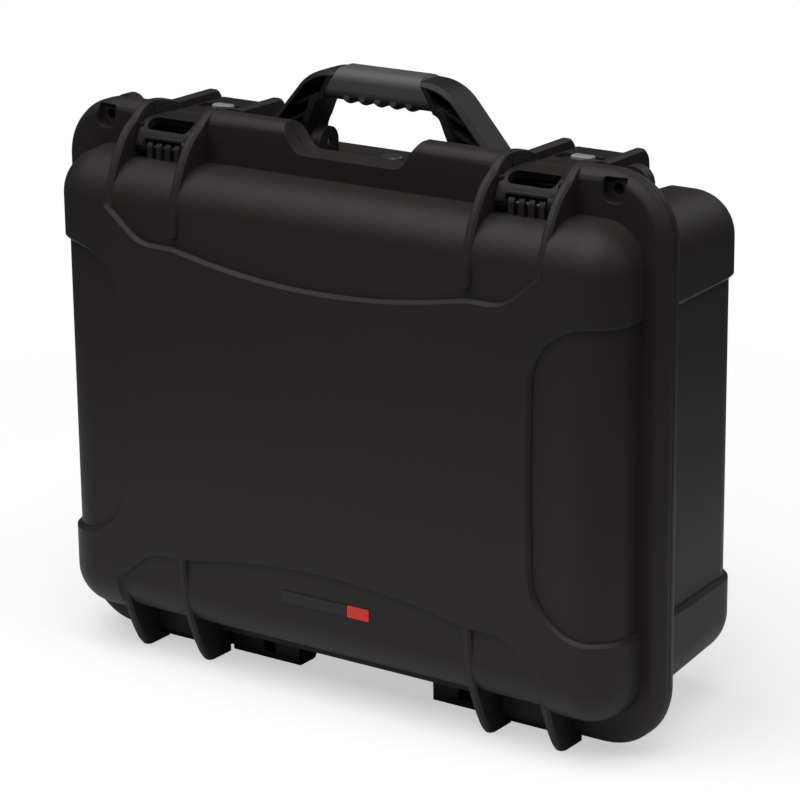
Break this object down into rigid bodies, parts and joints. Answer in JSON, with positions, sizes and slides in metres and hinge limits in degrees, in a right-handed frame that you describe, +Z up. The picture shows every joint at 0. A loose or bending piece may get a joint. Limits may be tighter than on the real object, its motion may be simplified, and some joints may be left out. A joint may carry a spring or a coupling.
{
  "type": "hard case",
  "caption": "Waterproof moulded hard case standing on its hinge side, with hinged lid, two claw latches with slide locks, folding soft-grip handle, seal and vent valve.",
  "frame": {"origin": "on the floor under the middle of the standing case", "axes": "+X across the width, +Y from the lid to the base's back, +Z up from the hinge side to the handle"},
  "size_m": [0.503, 0.192, 0.4415],
  "materials": {
    "moulded": "fine grain",
    "grip_rubber": "matt",
    "seal_rubber": "matt",
    "steel": "satin",
    "lock_grey": "satin",
    "valve_plastic": "satin"
  },
  "bodies": {
    "base": {"base_shell": "moulded", "hinge_pin_left": "steel", "hinge_pin_right": "steel", "handle_pin_left": "steel", "handle_pin_right": "steel", "valve_body": "valve_plastic", "valve_seal": "seal_rubber", "valve_nut": "moulded"},
    "lid": {"lid_shell": "moulded", "lid_seal": "seal_rubber", "latch_pin_left": "steel", "latch_pin_right": "steel"},
    "handle": {"handle_frame": "moulded", "handle_grip": "grip_rubber"},
    "latch_left": {"latch_claw_left": "moulded", "lever_pin_left": "steel"},
    "lever_left": {"latch_lever_left": "moulded"},
    "lock_left": {"slide_lock_left": "lock_grey"},
    "latch_right": {"latch_claw_right": "moulded", "lever_pin_right": "steel"},
    "lever_right": {"latch_lever_right": "moulded"},
    "lock_right": {"slide_lock_right": "lock_grey"}
  },
  "joints": [
    {"name": "lid_hinge", "type": "hinge", "parent": "base", "child": "lid", "pos_m": [0, -0.042, 0.005], "axis": [1, 0, 0], "range_deg": [0, 100]},
    {"name": "handle_fold", "type": "hinge", "parent": "base", "child": "handle", "pos_m": [0, -0.005, 0.385], "axis": [-1, 0, 0], "range_deg": [0, 80]},
    {"name": "latch_left_swing", "type": "hinge", "parent": "lid", "child": "latch_left", "pos_m": [-0.15198, -0.0605, 0.378], "axis": [1, 0, 0], "range_deg": [0, 95]},
    {"name": "lever_left_lift", "type": "hinge", "parent": "latch_left", "child": "lever_left", "pos_m": [-0.15198, -0.018, 0.388], "axis": [1, 0, 0], "range_deg": [0, 70]},
    {"name": "lock_left_slide", "type": "slide", "parent": "lever_left", "child": "lock_left", "axis": [-1, 0, 0], "range_m": [0, 0.007]},
    {"name": "latch_right_swing", "type": "hinge", "parent": "lid", "child": "latch_right", "pos_m": [0.15198, -0.0605, 0.378], "axis": [1, 0, 0], "range_deg": [0, 95]},
    {"name": "lever_right_lift", "type": "hinge", "parent": "latch_right", "child": "lever_right", "pos_m": [0.15198, -0.018, 0.388], "axis": [1, 0, 0], "range_deg": [0, 70]},
    {"name": "lock_right_slide", "type": "slide", "parent": "lever_right", "child": "lock_right", "axis": [1, 0, 0], "range_m": [0, 0.007]}
  ]
}
